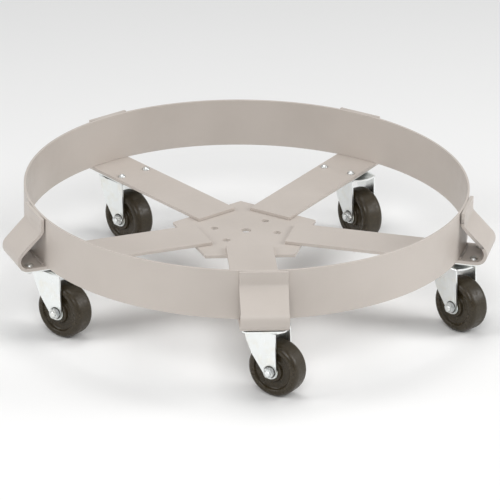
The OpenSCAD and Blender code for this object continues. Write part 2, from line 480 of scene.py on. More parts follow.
def lengthen(bm: bmesh.types.BMesh, face: bmesh.types.BMFace, step: Vector) -> bmesh.types.BMFace:
    """Extrudes a face along a straight line.

    Args:
        bm: the mesh to work on.
        face: the end face.
        step: how far and which way it goes.

    Returns:
        The new end face.
    """
    grown = bmesh.ops.extrude_face_region(bm, geom=[face])["geom"]
    end = next(item for item in grown if isinstance(item, bmesh.types.BMFace))
    bmesh.ops.translate(bm, vec=step, verts=end.verts[:])
    return end


def bend(
    bm: bmesh.types.BMesh, face: bmesh.types.BMFace, centre: Vector, axis: Vector, turn: float
) -> bmesh.types.BMFace:
    """Sweeps a face around a bend.

    Args:
        bm: the mesh to work on.
        face: the end face.
        centre: a point on the bend's axis.
        axis: the bend's axis.
        turn: angle of the bend.

    Returns:
        The new end face.
    """
    fewest, degrees_each = 8, 6
    steps = max(fewest, round(math.degrees(turn) / degrees_each))
    swept = bmesh.ops.spin(
        bm, geom=[face, *face.edges, *face.verts], cent=centre, axis=axis, angle=turn, steps=steps,
        use_merge=False, use_duplicate=False,
    )["geom_last"]
    return next(item for item in swept if isinstance(item, bmesh.types.BMFace))


def turn_on_lathe(corners: list[tuple], steps: int = 64) -> bmesh.types.BMesh:
    """Turns a closed outline about the Z axis.

    Args:
        corners: the outline's corners as radius, height and how far the corner is rounded.
        steps: faces around the full turn.

    Returns:
        The turned solid.
    """
    bm = bmesh.new()
    verts = [bm.verts.new((radius, 0, height)) for radius, height, _ in corners]
    bm.faces.new(verts)
    for vert, (_, _, rounding) in zip(verts, corners):
        if rounding > 0:
            bmesh.ops.bevel(
                bm, geom=[vert], offset=rounding, offset_type="OFFSET", segments=6, profile=0.5,
                affect="VERTICES", clamp_overlap=False, material=-1,
            )
    bmesh.ops.delete(bm, geom=bm.faces[:], context="FACES_ONLY")
    on_axis = [edge for edge in bm.edges if all(abs(vert.co.x) < 1e-7 for vert in edge.verts)]
    bmesh.ops.delete(bm, geom=on_axis, context="EDGES")
    bmesh.ops.spin(
        bm, geom=bm.verts[:] + bm.edges[:], cent=(0, 0, 0), axis=(0, 0, 1), angle=FULL_TURN,
        steps=steps, use_merge=True, use_duplicate=False,
    )
    bmesh.ops.remove_doubles(bm, verts=bm.verts[:], dist=1e-6)
    bmesh.ops.recalc_face_normals(bm, faces=bm.faces[:])
    return bm


def groove_arc(centre: tuple[float, float], radius: float, floor: float, steps: int = 10) -> list[tuple]:
    """Corners of a ball groove's section, from its inner lip over the ball to its outer lip.

    Args:
        centre: radius and height of the balls' centres.
        radius: radius of the groove's section.
        floor: height of the surface that the groove is cut into.
        steps: faces across the groove.

    Returns:
        Corners for turn_on_lathe.
    """
    lip = math.asin((floor - centre[1]) / radius)
    side = math.copysign(1, floor - centre[1])
    start, end = math.pi - abs(lip), abs(lip)
    angles = [start + (end - start) * i / steps for i in range(steps + 1)]
    return [(centre[0] + radius * math.cos(a), centre[1] + side * radius * math.sin(a), 0) for a in angles]


def hexagon_bar(across: float, height: float, chamfers: tuple[bool, bool]) -> bmesh.types.BMesh:
    """Hexagon bar that stands on the origin, its chosen ends turned down to a chamfer.

    Args:
        across: width across two flats.
        height: height of the bar.
        chamfers: whether its bottom and its top are chamfered.

    Returns:
        The bar, with one face at each end.
    """
    bm = bmesh.new()
    face_r = across / 2
    corner_r = face_r / math.cos(math.pi / 6)
    turn = Matrix.Rotation(QUARTER_TURN, 4, "Z")
    bmesh.ops.create_circle(bm, cap_ends=True, radius=corner_r, segments=6, matrix=turn)
    bmesh.ops.subdivide_edges(bm, edges=bm.edges[:], cuts=7)
    lengthen(bm, only_face(bm), Vector((0, 0, height)))
    turned_r = 0.955 * face_r
    ends = [face for face in bm.faces if abs(face.normal.z) > 0.9]
    for end in ends:
        top = end.calc_center_median().z > height / 2
        if not chamfers[1 if top else 0]:
            continue
        slope = math.tan(math.radians(30)) * (-1 if top else 1)
        rim = end.verts[:]
        lower = lengthen(bm, end, Vector((0, 0, 0)))
        for outer in rim:
            outer.co.z += slope * (outer.co.xy.length - turned_r)
        for inner in lower.verts:
            inner.co.xy = inner.co.xy.normalized() * turned_r
    bmesh.ops.recalc_face_normals(bm, faces=bm.faces[:])
    return bm


def drill(bm: bmesh.types.BMesh, radius: float) -> None:
    """Opens a round hole through the two end faces of a solid, along the Z axis.

    Args:
        bm: the solid, whose end faces are flat and have their corners at the same angles.
        radius: radius of the hole.
    """
    loops = []
    for end in [face for face in bm.faces if len(face.verts) > 6 and abs(face.normal.z) > 0.9]:
        inner = lengthen(bm, end, Vector((0, 0, 0)))
        for vert in inner.verts:
            vert.co.xy = vert.co.xy.normalized() * radius
        loops += inner.edges[:]
        bmesh.ops.delete(bm, geom=[inner], context="FACES_ONLY")
    bmesh.ops.bridge_loops(bm, edges=loops)
    bmesh.ops.recalc_face_normals(bm, faces=bm.faces[:])


def join_shapes(shapes: list[tuple[bmesh.types.BMesh, Matrix]]) -> bmesh.types.BMesh:
    """Puts shapes in their places in one mesh.

    Args:
        shapes: each shape and where it goes. A shape that comes back in the list is copied.

    Returns:
        The joined mesh.
    """
    joined = bmesh.new()
    for shape, place in shapes:
        mesh = bpy.data.meshes.new("shape")
        shape.to_mesh(mesh)
        mesh.transform(place)
        joined.from_mesh(mesh)
        bpy.data.meshes.remove(mesh)
    for shape in {id(shape): shape for shape, _ in shapes}.values():
        shape.free()
    return joined


@dataclass
class Assembly:
    """A sub-assembly whose pieces ride on the frame's bodies.

    Attributes:
        shop: the finishes.
    """

    shop: PaintShop

    def finish_piece(
        self, bm: bmesh.types.BMesh, name: str, body: str, slot: Slot, stands_for: str
    ) -> bpy.types.Object:
        """Turns a mesh into a finished piece in its place.

        Args:
            bm: the piece's mesh, in the row frame. It is freed.
            name: the piece's name.
            body: the body it rides on.
            slot: its finish.
            stands_for: the CAD node it replaces.

        Returns:
            The new object.
        """
        mark_edges(bm)
        mesh = bpy.data.meshes.new(name)
        bm.to_mesh(mesh)
        bm.free()
        piece = bpy.data.objects.new(name, mesh)
        bpy.context.scene.collection.objects.link(piece)
        self.shop.coat(piece, slot)
        add_weighted_normals(piece)
        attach(piece, body)
        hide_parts(stands_for)
        LOG.info("%s: %d faces, rides on %s", name, len(mesh.polygons), body)
        return piece


# ---- Places ----


@dataclass(frozen=True)
class CasterPlace:
    """Where one caster stands, read from the frame's joints.

    Attributes:
        number: the caster's number.
        kingpin: the point of the swivel's axis in the plane of the arms' top faces.
        axle: the middle of the wheel.
    """

    number: int
    kingpin: Vector
    axle: Vector

    @classmethod
    def read(cls, number: int) -> "CasterPlace":
        """Reads a caster's place.

        Args:
            number: the caster's number.

        Returns:
            Its place.
        """
        swivel = JOINTS[f"swivel_{number}_turn"]["pos_m"]
        return cls(number, Vector((swivel[0], swivel[1], 0)), Vector(JOINTS[f"wheel_{number}_spin"]["pos_m"]))

    @property
    def trail(self) -> Vector:
        """Level step from the kingpin to the axle."""
        return Vector((self.axle.x - self.kingpin.x, self.axle.y - self.kingpin.y, 0))

    @property
    def heading(self) -> Matrix:
        """Turn from +X to the trail's direction."""
        return Matrix.Rotation(math.atan2(self.trail.y, self.trail.x), 4, "Z")

    def along_arm(self) -> Matrix:
        """Place whose +X runs along the caster's arm, from the ring's axis."""
        return Matrix.Rotation(math.atan2(self.kingpin.y, self.kingpin.x), 4, "Z")

    def on_plate(self) -> Matrix:
        """Place at the kingpin whose +X runs along the caster's arm."""
        return Matrix.Translation(self.kingpin) @ self.along_arm()

    def on_swivel(self) -> Matrix:
        """Place at the kingpin whose +X points along the trail."""
        return Matrix.Translation(self.kingpin) @ self.heading

    def on_axle(self) -> Matrix:
        """Place at the wheel's middle whose +Z runs along the axle."""
        return Matrix.Translation(self.axle) @ self.heading @ Matrix.Rotation(-QUARTER_TURN, 4, "X")


# ---- Frame: ring, hub, arms and welds ----


@dataclass
class StarFrame(Assembly):
    """Collar ring, hub plate, hooked arms and the welds between them.

    Attributes:
        ring_wall: thickness of the ring's strip.
        edge: rounding of the sheared edges.
        arm_t: thickness of the flat bar.
        arm_w: its width.
        arm_start_r: distance from the ring's axis to an arm's inner end.
        hook_bend_r: outside radius of the hook's lower bend.
        hook_turn: angle of that bend.
        tab_bend_r: inside radius of the bend below the tab.
        tab_gap: distance from the ring's outer face to the tab.
        hub_r: distance from the hub plate's middle to its corners.
        hub_centre_hole_d: diameter of its centre hole.
        hub_bolt_hole_d: diameter of its bolt holes.
        hub_bolt_x: spacing of the bolt holes along X.
        hub_bolt_y: their spacing along Y.
        weld_leg: size of the weld beads.
        bead_share: radius of a bead as a share of that.
        hub_weld_l: length of a bead at the hub plate.
        rim_weld_turn: angle that a bead at the ring covers.
    """

    ring_wall: float = 3.2 * MM
    edge: float = 0.7 * MM
    arm_t: float = 4.8 * MM
    arm_w: float = 65 * MM
    arm_start_r: float = 63.2 * MM
    hook_bend_r: float = 16 * MM
    hook_turn: float = math.radians(135)
    tab_bend_r: float = 8 * MM
    tab_gap: float = 0.05 * MM
    hub_r: float = 105.4 * MM
    hub_centre_hole_d: float = 14 * MM
    hub_bolt_hole_d: float = 10.3 * MM
    hub_bolt_x: float = 76.2 * MM
    hub_bolt_y: float = 44.45 * MM
    weld_leg: float = 4 * MM
    bead_share: float = 0.66
    hub_weld_l: float = 52 * MM
    rim_weld_turn: float = math.radians(9.6)

    @property
    def ring_top(self) -> float:
        """Height of the ring's upper edge."""
        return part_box("collar_ring")[1].z

    @property
    def ring_r(self) -> float:
        """Outside radius of the ring."""
        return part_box("collar_ring")[1].x

    def build(self, places: list[CasterPlace]) -> None:
        """Builds the whole frame.

        Args:
            places: the five casters' places, one to an arm.
        """
        self.finish_piece(self.ring(), "rolled_collar_ring", "frame", Slot.FRAME_PAINT, "collar_ring")
        self.finish_piece(self.hub(), "pentagon_hub_plate", "frame", Slot.FRAME_PAINT, "hub_plate")
        for place in places:
            bar = self.arm()
            bmesh.ops.transform(bar, matrix=place.along_arm(), verts=bar.verts[:])
            name = f"hooked_arm_{place.number}"
            self.finish_piece(bar, name, "frame", Slot.FRAME_PAINT, f"arm_{place.number}")
        arms = [place.along_arm() for place in places]
        hub_bead, rim_bead = self.hub_bead(), self.rim_bead()
        hub_beads = join_shapes([(hub_bead, arm) for arm in arms])
        rim_beads = join_shapes([(rim_bead, arm) for arm in arms])
        self.finish_piece(hub_beads, "hub_weld_beads", "frame", Slot.FRAME_PAINT, "hub_welds")
        self.finish_piece(rim_beads, "rim_weld_beads", "frame", Slot.FRAME_PAINT, "rim_welds")

    def ring(self) -> bmesh.types.BMesh:
        """Strip rolled into a ring, its edges rounded by the shears."""
        inner = self.ring_r - self.ring_wall
        return turn_on_lathe([
            (inner, 0, self.edge), (self.ring_r, 0, self.edge),
            (self.ring_r, self.ring_top, self.edge), (inner, self.ring_top, self.edge),
        ], steps=240)

    def arm(self) -> bmesh.types.BMesh:
        """Flat bar with a hook at its end that comes back to a tab on the ring, along +X."""
        bm = bmesh.new()
        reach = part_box("arm_1")[0].x * -1
        flat_end = reach - self.hook_bend_r
        hook = Vector((flat_end, 0, self.hook_bend_r - self.arm_t))
        tab_x = self.ring_r + self.tab_gap + self.arm_t + self.tab_bend_r
        rise = (self.hook_bend_r + self.tab_bend_r) * math.sqrt(2)
        tab = Vector((tab_x, 0, hook.x + hook.z + rise - tab_x))
        start = Matrix.Translation((self.arm_start_r, 0, -self.arm_t / 2))
        upright = Matrix.Rotation(QUARTER_TURN, 4, "Y")
        size = Matrix.Diagonal((self.arm_t, self.arm_w, 1, 1))
        bmesh.ops.create_grid(bm, x_segments=1, y_segments=1, size=0.5, matrix=start @ upright @ size)
        end = lengthen(bm, only_face(bm), Vector((flat_end - self.arm_start_r, 0, 0)))
        end = bend(bm, end, hook, Vector((0, -1, 0)), self.hook_turn)
        slope = Vector((-1, 0, 1)).normalized()
        end = lengthen(bm, end, slope * ((tab - hook).dot(slope)))
        end = bend(bm, end, tab, Vector((0, 1, 0)), self.hook_turn - QUARTER_TURN)
        lengthen(bm, end, Vector((0, 0, self.ring_top - tab.z)))
        bmesh.ops.recalc_face_normals(bm, faces=bm.faces[:])
        soften_edges(bm, self.edge)
        return bm

    def hub(self) -> bmesh.types.BMesh:
        """Five-sided plate with four bolt holes and one in the middle."""
        bm = bmesh.new()
        low, high = (corner.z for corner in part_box("hub_plate"))
        for i in range(len(CASTER_NUMBERS)):
            bm.verts.new((self.hub_r * math.cos(PITCH * i), self.hub_r * math.sin(PITCH * i), 0))
        corners = bm.verts[:]
        for first, second in zip(corners, corners[1:] + corners[:1]):
            bm.edges.new((first, second))
        holes = [(0, 0, self.hub_centre_hole_d)]
        for x in (-self.hub_bolt_x / 2, self.hub_bolt_x / 2):
            holes += [(x, y, self.hub_bolt_hole_d) for y in (-self.hub_bolt_y / 2, self.hub_bolt_y / 2)]
        for x, y, across in holes:
            bmesh.ops.create_circle(bm, radius=across / 2, segments=40, matrix=Matrix.Translation((x, y, 0)))
        bmesh.ops.triangle_fill(bm, edges=bm.edges[:], use_beauty=True, use_dissolve=False)
        bmesh.ops.translate(bm, vec=(0, 0, low), verts=bm.verts[:])
        grown = bmesh.ops.extrude_face_region(bm, geom=bm.faces[:])["geom"]
        top = [item for item in grown if isinstance(item, bmesh.types.BMVert)]
        bmesh.ops.translate(bm, vec=(0, 0, high - low), verts=top)
        bmesh.ops.recalc_face_normals(bm, faces=bm.faces[:])
        soften_edges(bm, self.edge)
        return bm

    def bead(self, length: float) -> bmesh.types.BMesh:
        """Rippled weld bead along the Y axis.

        Args:
            length: the bead's length.

        Returns:
            A closed bead, centred on the origin.
        """
        bm = bmesh.new()
        ripple, steps_each = 2.0 * MM, 5
        valley, crest, taper = 0.90, 1.04, 0.55
        radius = self.bead_share * self.weld_leg
        count = round(length / ripple) * steps_each
        start = Matrix.Translation((0, -length / 2, 0)) @ Matrix.Rotation(QUARTER_TURN, 4, "X")
        bmesh.ops.create_circle(bm, cap_ends=True, radius=radius, segments=14, matrix=start)
        end = only_face(bm)
        for i in range(count):
            end = lengthen(bm, end, Vector((0, length / count, 0)))
            swell = {0: valley, 1: crest}.get(i % steps_each, 1.0)
            middle = Vector((0, end.calc_center_median().y, 0))
            for vert in end.verts:
                vert.co = middle + (vert.co - middle).normalized() * radius * swell
        ends = [face for face in bm.faces if len(face.verts) > 4]
        for face in ends:
            centred = Matrix.Translation(-face.calc_center_median())
            bmesh.ops.scale(bm, vec=(taper, 1, taper), space=centred, verts=face.verts[:])
        bmesh.ops.recalc_face_normals(bm, faces=bm.faces[:])
        return bm

    def hub_bead(self) -> bmesh.types.BMesh:
        """Bead under an arm, along the edge of the hub plate."""
        bm = self.bead(self.hub_weld_l)
        edge_r = self.hub_r * math.cos(PITCH / 2)
        inset = self.weld_leg / 4
        bmesh.ops.translate(bm, vec=(edge_r + inset, 0, -self.arm_t - inset), verts=bm.verts[:])
        return bm

    def rim_bead(self) -> bmesh.types.BMesh:
        """Bead on top of an arm, around the foot of the ring's outer face."""
        bm = self.bead(self.ring_r * self.rim_weld_turn)
        inset = self.weld_leg / 4
        bmesh.ops.translate(bm, vec=(self.ring_r + inset, 0, inset), verts=bm.verts[:])
        for vert in bm.verts:
            angle = vert.co.y / self.ring_r
            vert.co = Vector((vert.co.x * math.cos(angle), vert.co.x * math.sin(angle), vert.co.z))
        return bm


# ---- Casters ----


@dataclass
class MountingPlate(Assembly):
    """Fixed part of a caster: the plate with its raceway, the rivets that hold it and the kingpin.

    Attributes:
        top: height of the plate's top, under the arm.
        plate_l: length of the plate along the arm.
        plate_w: its width.
        plate_t: its thickness.
        corner_r: radius of its corners.
        edge: rounding of its edges.
        race_r: radius of the circle that the balls' centres run on.
        race_w: distance from there to the rim of the raceway's boss.
        race_h: height of the boss.
        ball_r: radius of the groove that the balls run in.
        ball_drop: distance of their centres below the boss.
        rivet_x: spacing of the rivets along the arm.
        rivet_y: their spacing across it.
        rivet_r: radius of a rivet's shank.
        rivet_head_r: radius of its heads.
        rivet_head_h: height of its heads.
        pin_r: radius of the kingpin's shank.
        pin_head_r: radius of its head.
        washer_r: outside radius of its washer.
        washer_t: thickness of the washer.
        washer_top: height of the washer's top.
        peen_r: radius of the kingpin's peened end.
        peen_h: height of that end.
        groove_shade: painted shade in the raceway's groove, as a share from 0 to 1.
        boss_shade: painted shade on the rest of the boss.
        seat_shade: painted shade around the seats of the rivets' heads.
        head_shade: painted shade on the rest of the heads.
    """

    top: float = -4.8 * MM
    plate_l: float = 98 * MM
    plate_w: float = 60 * MM
    plate_t: float = 2.5 * MM
    corner_r: float = 8 * MM
    edge: float = 0.4 * MM
    race_r: float = 16 * MM
    race_w: float = 6 * MM
    race_h: float = 3.2 * MM
    ball_r: float = 3.05 * MM
    ball_drop: float = 1.2 * MM
    rivet_x: float = 76.2 * MM
    rivet_y: float = 44.45 * MM
    rivet_r: float = 4 * MM
    rivet_head_r: float = 5.6 * MM
    rivet_head_h: float = 4 * MM
    pin_r: float = 5 * MM
    pin_head_r: float = 9 * MM
    washer_r: float = 13 * MM
    washer_t: float = 2.5 * MM
    washer_top: float = -16.2 * MM
    peen_r: float = 8 * MM
    peen_h: float = 3.5 * MM
    groove_shade: float = 0.85
    boss_shade: float = 0.35
    seat_shade: float = 0.32
    head_shade: float = 0.12

    def build(self, places: list[CasterPlace]) -> None:
        """Builds the fixed parts of all the casters.

        Args:
            places: the casters' places.
        """
        for place in places:
            plate = join_shapes([(self.plate(), place.on_plate()), (self.raceway(), place.on_plate())])
            name = f"raceway_plate_{place.number}"
            self.finish_piece(plate, name, "frame", Slot.ZINC, f"caster_plate_{place.number}")
            pin = join_shapes([(self.kingpin(), place.on_plate())])
            name = f"peened_kingpin_{place.number}"
            self.finish_piece(pin, name, "frame", Slot.STEEL, f"kingpin_{place.number}")
        rivet = self.rivet()
        spots = [place.on_plate() @ spot for place in places for spot in self.rivet_spots()]
        rivets = join_shapes([(rivet, spot) for spot in spots])
        self.finish_piece(rivets, "domed_rivets", "frame", Slot.ZINC, "caster_rivets")
        washer = self.washer()
        washers = join_shapes([(washer, place.on_plate()) for place in places])
        self.finish_piece(washers, "chamfered_washers", "frame", Slot.ZINC, "kingpin_washers")

    def rivet_spots(self) -> list[Matrix]:
        """Places of a caster's four rivets, measured from its kingpin."""
        half_x, half_y = self.rivet_x / 2, self.rivet_y / 2
        return [Matrix.Translation((x, y, 0)) for x in (-half_x, half_x) for y in (-half_y, half_y)]

    def plate(self) -> bmesh.types.BMesh:
        """Pressed plate with round corners."""
        bm = bmesh.new()
        bmesh.ops.create_grid(
            bm, x_segments=1, y_segments=1, size=0.5,
            matrix=Matrix.Translation((0, 0, self.top)) @ Matrix.Diagonal((self.plate_l, self.plate_w, 1, 1)))
        bmesh.ops.bevel(
            bm, geom=bm.verts[:], offset=self.corner_r, offset_type="OFFSET", segments=8, profile=0.5,
            affect="VERTICES", clamp_overlap=False, material=-1)
        lengthen(bm, only_face(bm), Vector((0, 0, -self.plate_t)))
        bmesh.ops.recalc_face_normals(bm, faces=bm.faces[:])
        soften_edges(bm, self.edge)
        return bm

    def raceway(self) -> bmesh.types.BMesh:
        """Pressed boss under the plate, with the groove that the balls run in."""
        floor = self.top - self.plate_t - self.race_h
        root = self.top - self.plate_t / 2
        rim_r = self.race_r + self.race_w
        groove = groove_arc((self.race_r, floor - self.ball_drop), self.ball_r, floor)
        bm = turn_on_lathe([
            (self.pin_r, root, 0), (self.pin_r, floor, 0.3 * MM), *groove,
            (rim_r - 0.6 * MM, floor, 0.9 * MM), (rim_r, floor + 2.2 * MM, 0.8 * MM),
            (rim_r + 1.2 * MM, self.top - self.plate_t, 0), (rim_r + 1.2 * MM, root, 0),
        ], steps=72)

        def painted_shade(point: Vector) -> float:
            """Painted shade at a point of the raceway."""
            return self.groove_shade if point.z < floor + 1.5 * MM else self.boss_shade

        # Painted shade: near black in the groove under the plate, lighter on the rest of the boss.
        fill_layer(bm, Layer.PAINTED_SHADE, painted_shade)
        return bm

    def dome(self, radius: float, height: float, base: float, side: int) -> list[tuple]:
        """Corners of a domed head's section, from its base edge to the axis.

        Args:
            radius: radius of the head's base.
            height: height of the head.
            base: level of the base.
            side: 1 for a head that points up and -1 for one that points down.

        Returns:
            Corners for turn_on_lathe.
        """
        land = 0.6 * MM
        cap = height - land
        ball = (radius ** 2 + cap ** 2) / (2 * cap)
        wide = math.asin(radius / ball)
        steps = 9
        angles = [wide * (1 - i / steps) for i in range(steps + 1)]
        centre = base + side * (height - ball)
        arc = [(ball * math.sin(a), centre + side * ball * math.cos(a), 0) for a in angles[:-1]]
        return [(radius - 0.2 * MM, base, 0), *arc, (0, base + side * height, 0)]

    def rivet(self) -> bmesh.types.BMesh:
        """Rivet with a domed head above the arm and one below the plate."""
        grip = -self.top + self.plate_t
        upper = self.dome(self.rivet_head_r, self.rivet_head_h, 0, 1)
        lower = self.dome(self.rivet_head_r, self.rivet_head_h, -grip, -1)
        bm = turn_on_lathe([*lower[::-1], (self.rivet_r, -grip, 0), (self.rivet_r, 0, 0), *upper], steps=32)
        foot = self.rivet_head_h / 2

        def painted_shade(point: Vector) -> float:
            """Painted shade at a point of the rivet."""
            return self.seat_shade if -grip - foot < point.z < foot else self.head_shade

        # Painted shade: darker around the heads' seats, a little darker on the heads.
        fill_layer(bm, Layer.PAINTED_SHADE, painted_shade)
        return bm

    def kingpin(self) -> bmesh.types.BMesh:
        """Kingpin with a flush head, a shank and a peened lower end."""
        end = self.washer_top - self.washer_t
        peen = self.dome(self.peen_r, self.peen_h, end, -1)
        return turn_on_lathe([
            *peen[::-1], (self.pin_r, end, 0), (self.pin_r, self.top - self.plate_t, 0),
            (self.pin_head_r, self.top, 0), (0, self.top, 0),
        ], steps=40)

    def washer(self) -> bmesh.types.BMesh:
        """Washer between the yoke's crown and the kingpin's peened end."""
        low = self.washer_top - self.washer_t
        chamfer = 0.4 * MM
        return turn_on_lathe([
            (self.pin_r, low, 0), (self.washer_r, low, chamfer),
            (self.washer_r, self.washer_top, chamfer), (self.pin_r, self.washer_top, 0),
        ], steps=48)


@dataclass
class Yoke(Assembly):
    """Swivelling yoke, pressed from one flat blank and folded down at both sides.

    The blank lies in X, along the trail, and in a second direction that runs over the folds.

    Attributes:
        crown_top: height of the crown's top.
        half_w: half the yoke's width outside its legs.
        sheet_t: thickness of the sheet.
        fold_r: outside radius of the folds.
        fold_steps: faces across a fold.
        crown_x: middle of the crown's round front and back.
        crown_r: radius of the crown's round front and back.
        front: points of a leg's front edge below the crown, as X and height.
        leg_end_r: radius of a leg's round end.
        dimple_r: radius of the dimple around the bolt.
        dimple_rim: width of the dimple's rim.
        dimple_t: depth of the dimple.
        bolt_hole_r: radius of the hole for the bolt.
        pin_hole_r: radius of the hole for the kingpin.
        race_r: radius of the circle that the balls' centres run on.
        ball_r: radius of the groove that they run in.
        ball_rise: height of their centres above the crown.
        groove_steps: faces across the groove.
        rounding: rounding of the sheet's edges.
        groove_shade: painted shade around the balls, as a share from 0 to 1.
        dimple_shade: painted shade in the dimples around the bolt.
    """

    crown_top: float = -12.9 * MM
    half_w: float = 20.5 * MM
    sheet_t: float = 2.5 * MM
    fold_r: float = 3.2 * MM
    fold_steps: int = 8
    crown_x: float = 8 * MM
    crown_r: float = 32 * MM
    front: tuple = ((-11.5 * MM, -32 * MM), (-2.5 * MM, -51 * MM))
    leg_end_r: float = 10 * MM
    dimple_r: float = 8.4 * MM
    dimple_rim: float = 1.3 * MM
    dimple_t: float = 0.8 * MM
    bolt_hole_r: float = 4.05 * MM
    pin_hole_r: float = 5.05 * MM
    race_r: float = 16 * MM
    ball_r: float = 3.05 * MM
    ball_rise: float = 1.2 * MM
    groove_steps: int = 8
    rounding: float = 0.35 * MM
    groove_shade: float = 0.85
    dimple_shade: float = 0.9

    def build(self, places: list[CasterPlace]) -> None:
        """Builds the five yokes.

        Args:
            places: the casters' places.
        """
        for place in places:
            bm = self.folded(place)
            bmesh.ops.transform(bm, matrix=place.on_swivel(), verts=bm.verts[:])
            name, body = f"pressed_yoke_{place.number}", f"swivel_{place.number}"
            piece = self.finish_piece(bm, name, body, Slot.ZINC, f"yoke_{place.number}")
            self.thicken(piece)

    def thicken(self, piece: bpy.types.Object) -> None:
        """Gives the folded surface its sheet thickness and rounded edges.

        Args:
            piece: the folded surface, which is the sheet's outer face.
        """
        piece.modifiers.clear()
        sheet = piece.modifiers.new("sheet", "SOLIDIFY")
        sheet.thickness = self.sheet_t
        sheet.offset = -1
        sheet.use_even_offset = True
        rounding = piece.modifiers.new("rounding", "BEVEL")
        rounding.limit_method = "ANGLE"
        rounding.angle_limit = math.radians(60)
        rounding.width = self.rounding
        rounding.segments = 2
        add_weighted_normals(piece)

    @property
    def groove(self) -> list[tuple]:
        """Radii of the pressed groove and how deep each is pushed in, from its outer lip inwards."""
        lip = math.asin(self.ball_rise / self.ball_r)
        angles = [lip + (math.pi - 2 * lip) * i / self.groove_steps for i in range(self.groove_steps + 1)]
        arc = [
            (self.race_r + self.ball_r * math.cos(a), self.ball_r * math.sin(a) - self.ball_rise)
            for a in angles
        ]
        land = 0.6 * MM
        return [(arc[0][0] + land, 0), *arc, (arc[-1][0] - land, 0)]

    @property
    def fold_start(self) -> float:
        """Distance from the yoke's middle to where a fold starts."""
        return self.half_w - self.fold_r

    def unfold(self, x: float, height: float) -> Vector:
        """Point of the blank that ends up on a leg at a height.

        Args:
            x: place along the trail.
            height: height on the folded leg, below the fold.

        Returns:
            The point of the blank.
        """
        below = self.crown_top - self.fold_r - height
        return Vector((x, self.fold_start + self.fold_r * QUARTER_TURN + below, 0))

    def fold(self, point: Vector) -> Vector:
        """Point of the folded sheet, from a point of the blank.

        Args:
            point: X, distance over the fold, and how far the point is pushed in, as a negative height.

        Returns:
            The folded point.
        """
        side, run = math.copysign(1, point.y), abs(point.y) - self.fold_start
        turn = min(max(run / self.fold_r, 0), QUARTER_TURN)
        reach = self.fold_start + min(run, 0) + self.fold_r * math.sin(turn)
        drop = self.fold_r * (1 - math.cos(turn)) + max(run - self.fold_r * QUARTER_TURN, 0)
        outwards = Vector((0, side * math.sin(turn), math.cos(turn)))
        return Vector((point.x, side * reach, self.crown_top - drop)) + outwards * point.z

    def leg_edge(self, place: CasterPlace) -> list[Vector]:
        """Outline of one leg of the blank, from the crown's front round the axle to its back.

        Args:
            place: the caster's place, which gives the axle's.

        Returns:
            The outline's points.
        """
        axle = Vector((place.trail.length, place.axle.z))
        fold_end = self.crown_top - self.fold_r

        def touch(point: Vector, side: int) -> float:
            """Angle at which a line from a point touches the leg's round end."""
            step = point - axle
            return math.atan2(step.y, step.x) + side * math.acos(self.leg_end_r / step.length)

        half_crown = math.sqrt(self.crown_r ** 2 - self.half_w ** 2)
        top = Vector((self.crown_x - half_crown, self.crown_top))
        corners = [top, *(Vector(point) for point in self.front)]
        back = Vector((self.crown_x + half_crown, self.crown_top))
        first, last = touch(corners[-1], 1) - FULL_TURN, touch(back, -1)
        while first > last:
            first -= FULL_TURN
        if last - first > FULL_TURN:
            last -= FULL_TURN
        steps = 24
        angles = [first + (last - first) * i / steps for i in range(steps + 1)]
        round_end = [axle + self.leg_end_r * Vector((math.cos(a), math.sin(a))) for a in angles]
        share = self.fold_r / (corners[0].y - corners[1].y)
        top_front = Vector((corners[0].x + share * (corners[1].x - corners[0].x), fold_end))
        share = self.fold_r / (back.y - round_end[-1].y)
        top_back = Vector((back.x + share * (round_end[-1].x - back.x), fold_end))
        points = [top_front, *corners[1:], *round_end, top_back]
        return [self.unfold(point.x, point.y) for point in points]

    def outline(self, place: CasterPlace) -> list[Vector]:
        """Outline of the whole blank, once round."""
        crown_end = math.asin(self.fold_start / self.crown_r)
        steps = 20
        sweep = [crown_end * (2 * i / steps - 1) for i in range(steps + 1)]
        rear = [
            Vector((self.crown_x + self.crown_r * math.cos(a), self.crown_r * math.sin(a), 0))
            for a in sweep
        ]
        nose = [Vector((2 * self.crown_x - point.x, point.y, 0)) for point in rear]
        leg = self.leg_edge(place)
        other_leg = [Vector((point.x, -point.y, 0)) for point in leg]
        return [*rear, *leg[::-1], *nose[::-1], *other_leg]

    def ring_of(
        self, bm: bmesh.types.BMesh, radius: float, centre: Vector, segments: int
    ) -> list[bmesh.types.BMEdge]:
        """Draws a circle of edges on the blank.

        Args:
            bm: the blank.
            radius: radius of the circle.
            centre: its centre.
            segments: edges around it.

        Returns:
            The circle's edges.
        """
        place = Matrix.Translation(centre)
        drawn = bmesh.ops.create_circle(bm, radius=radius, segments=segments, matrix=place)
        return list({edge for vert in drawn["verts"] for edge in vert.link_edges})

    def press(self, bm: bmesh.types.BMesh, edges: list, centre: Vector, steps: tuple) -> None:
        """Presses concentric rings into the blank, inwards from a circle of edges, and leaves a hole.

        Args:
            bm: the blank.
            edges: the outermost circle.
            centre: its centre.
            steps: each ring's radius and how far it is pushed in.
        """
        for radius, push in steps:
            grown = bmesh.ops.extrude_edge_only(bm, edges=edges)["geom"]
            edges = [item for item in grown if isinstance(item, bmesh.types.BMEdge)]
            for vert in {vert for edge in edges for vert in edge.verts}:
                away = (vert.co - centre).xy.normalized() * radius
                vert.co = Vector((centre.x + away.x, centre.y + away.y, -push))

